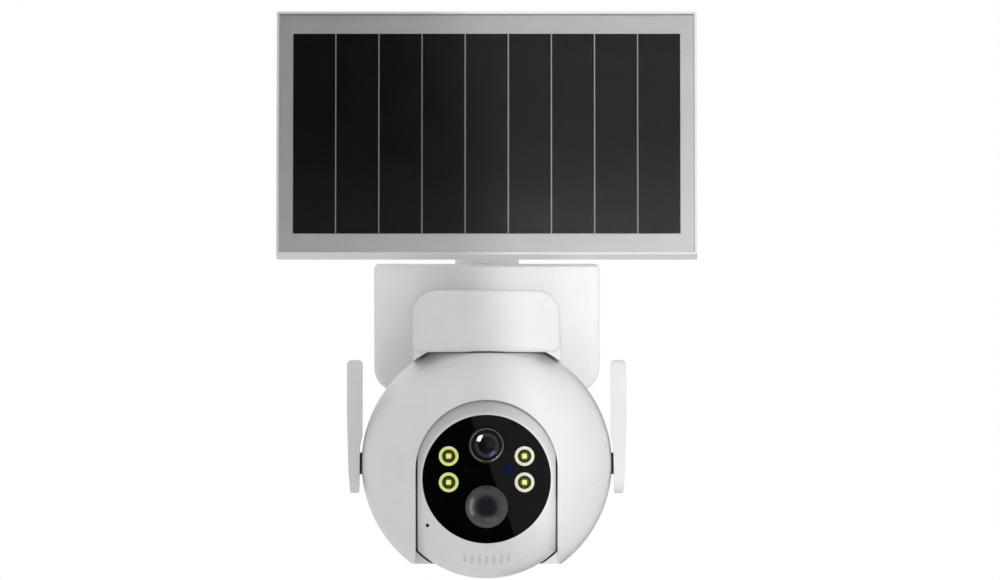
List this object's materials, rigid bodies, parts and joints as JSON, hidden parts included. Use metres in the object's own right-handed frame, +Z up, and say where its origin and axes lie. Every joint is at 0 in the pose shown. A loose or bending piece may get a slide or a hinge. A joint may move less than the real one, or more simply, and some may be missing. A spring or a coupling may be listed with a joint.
{
  "type": "solar-powered security camera",
  "caption": "Wall-mounted pan and tilt security camera: a ball-shaped body with two antennas hangs from an arm on a battery housing, under an adjustable solar panel.",
  "frame": {"origin": "middle of the wall plate's four bolt holes, on the wall", "axes": "+X to the right as seen from in front, +Y into the wall, +Z up"},
  "size_m": [0.19, 0.1459, 0.2556],
  "materials": {
    "white_shell": "satin moulded, weatherproof",
    "black_window": "polished, dark tinted",
    "lens_black": "fine matt, black",
    "lens_metal": "turned and polished",
    "clear_optic": "coated optical glass",
    "led_ring": "translucent, pale yellow",
    "pir_plastic": "moulded lenslets, dark blue grey",
    "sensor_dark": "polished, dark",
    "status_blue": "translucent blue",
    "solar_cell": "dark silicon",
    "busbar": "tinned ribbon",
    "backsheet": "light grey film",
    "panel_cover": "clear sheet",
    "zinc_steel": "zinc plated",
    "stainless": "stainless, machined",
    "motor_can": "drawn can",
    "bronze": "sintered bronze",
    "acetal": "natural acetal",
    "circuit_board": "green laminate",
    "cell_wrap": "shrink wrap",
    "black_plastic": "moulded",
    "grey_rubber": "soft, light grey",
    "speaker_cone": "black cone in a steel basket"
  },
  "bodies": {
    "wall_unit": {"wall_plate": "zinc_steel", "housing_back": "white_shell", "housing_shell": "white_shell", "housing_gasket": "grey_rubber", "case_screws": "zinc_steel", "hatch_screws": "zinc_steel", "battery_cells": "cell_wrap", "battery_cradle": "black_plastic", "charge_board": "circuit_board", "solar_inlet": "grey_rubber", "arm_shell": "white_shell", "arm_hatch": "white_shell", "pan_bush": "bronze", "pan_motor": "motor_can", "swivel_base": "white_shell"},
    "pan_pinion": {"pan_pinion": "acetal"},
    "ball": {"pan_spindle": "black_plastic", "pan_gear": "acetal", "ball_front": "white_shell", "ball_rear": "white_shell", "ball_screws": "zinc_steel", "main_board": "circuit_board", "tilt_motor": "motor_can", "tilt_bushes": "bronze"},
    "tilt_pinion": {"tilt_pinion": "acetal"},
    "head": {"head_front": "white_shell", "head_rear": "white_shell", "head_screws": "zinc_steel", "face_window": "black_window", "lens_barrel": "lens_black", "lens_ring": "lens_metal", "lens_glass": "clear_optic", "image_board": "circuit_board", "led_board": "circuit_board", "led_rings": "led_ring", "led_lenses": "clear_optic", "pir_lens": "pir_plastic", "light_sensor": "sensor_dark", "status_light": "status_blue", "speaker": "speaker_cone", "tilt_axles": "black_plastic", "tilt_gear": "acetal"},
    "left_antenna": {"antenna_left": "white_shell", "antenna_pivot_left": "black_plastic"},
    "right_antenna": {"antenna_right": "white_shell", "antenna_pivot_right": "black_plastic"},
    "panel_arm": {"panel_neck": "white_shell"},
    "panel": {"panel_frame": "white_shell", "panel_backsheet": "backsheet", "solar_cells": "solar_cell", "busbars": "busbar", "panel_glass": "panel_cover", "junction_box": "white_shell", "panel_clevis": "white_shell", "tilt_bolt": "stainless"},
    "knob": {"tilt_knob": "white_shell"},
    "power_button": {"power_button": "white_shell"},
    "reset_button": {"reset_button": "black_plastic"},
    "usb_flap": {"usb_flap": "grey_rubber"},
    "sd_flap": {"sd_flap": "grey_rubber"}
  },
  "joints": [
    {"name": "pan", "type": "hinge", "parent": "wall_unit", "child": "ball", "pos_m": [0, -0.098, -0.0609], "axis": [0, 0, 1], "range_deg": [-177.5, 177.5]},
    {"name": "pan_pinion_turn", "type": "hinge", "parent": "wall_unit", "child": "pan_pinion", "pos_m": [0.0183, -0.098, -0.005], "axis": [0, 0, 1], "range_deg": [-660, 660]},
    {"name": "tilt", "type": "hinge", "parent": "ball", "child": "head", "pos_m": [0, -0.106, -0.06765], "axis": [1, 0, 0], "range_deg": [-10, 80]},
    {"name": "tilt_pinion_turn", "type": "hinge", "parent": "ball", "child": "tilt_pinion", "pos_m": [0.037, -0.08899, -0.0609], "axis": [1, 0, 0], "range_deg": [-300, 40]},
    {"name": "left_antenna_swing", "type": "hinge", "parent": "ball", "child": "left_antenna", "pos_m": [-0.0555, -0.098, -0.0609], "axis": [1, 0, 0], "range_deg": [-90, 90]},
    {"name": "right_antenna_swing", "type": "hinge", "parent": "ball", "child": "right_antenna", "pos_m": [0.0555, -0.098, -0.0609], "axis": [1, 0, 0], "range_deg": [-90, 90]},
    {"name": "panel_swivel", "type": "hinge", "parent": "wall_unit", "child": "panel_arm", "pos_m": [0, -0.016, 0.038], "axis": [0, 0, 1], "range_deg": [-30, 30]},
    {"name": "panel_tilt", "type": "hinge", "parent": "panel_arm", "child": "panel", "pos_m": [0, -0.0328, 0.08194], "axis": [1, 0, 0], "range_deg": [-30, 2]},
    {"name": "knob_turn", "type": "hinge", "parent": "panel", "child": "knob", "pos_m": [0.014, -0.0328, 0.08194], "axis": [1, 0, 0], "range_deg": [0, 360]},
    {"name": "power_press", "type": "slide", "parent": "wall_unit", "child": "power_button", "axis": [0, 0, 1], "range_m": [0, 0.0008], "stiffness_N_per_m": 1200},
    {"name": "reset_press", "type": "slide", "parent": "ball", "child": "reset_button", "axis": [0, -0.8192, 0.5736], "range_m": [0, 0.0005], "stiffness_N_per_m": 800},
    {"name": "usb_flap_open", "type": "hinge", "parent": "wall_unit", "child": "usb_flap", "pos_m": [0.018, -0.0147, -0.029], "axis": [1, 0, 0], "range_deg": [0, 100]},
    {"name": "sd_flap_open", "type": "hinge", "parent": "ball", "child": "sd_flap", "pos_m": [0, -0.0486, -0.0878], "axis": [1, 0, 0], "range_deg": [0, 100]}
  ],
  "couplings": [
    {"joint": "pan_pinion_turn", "follows": "pan", "ratio": -3.6923},
    {"joint": "tilt_pinion_turn", "follows": "tilt", "ratio": -3.6923}
  ]
}
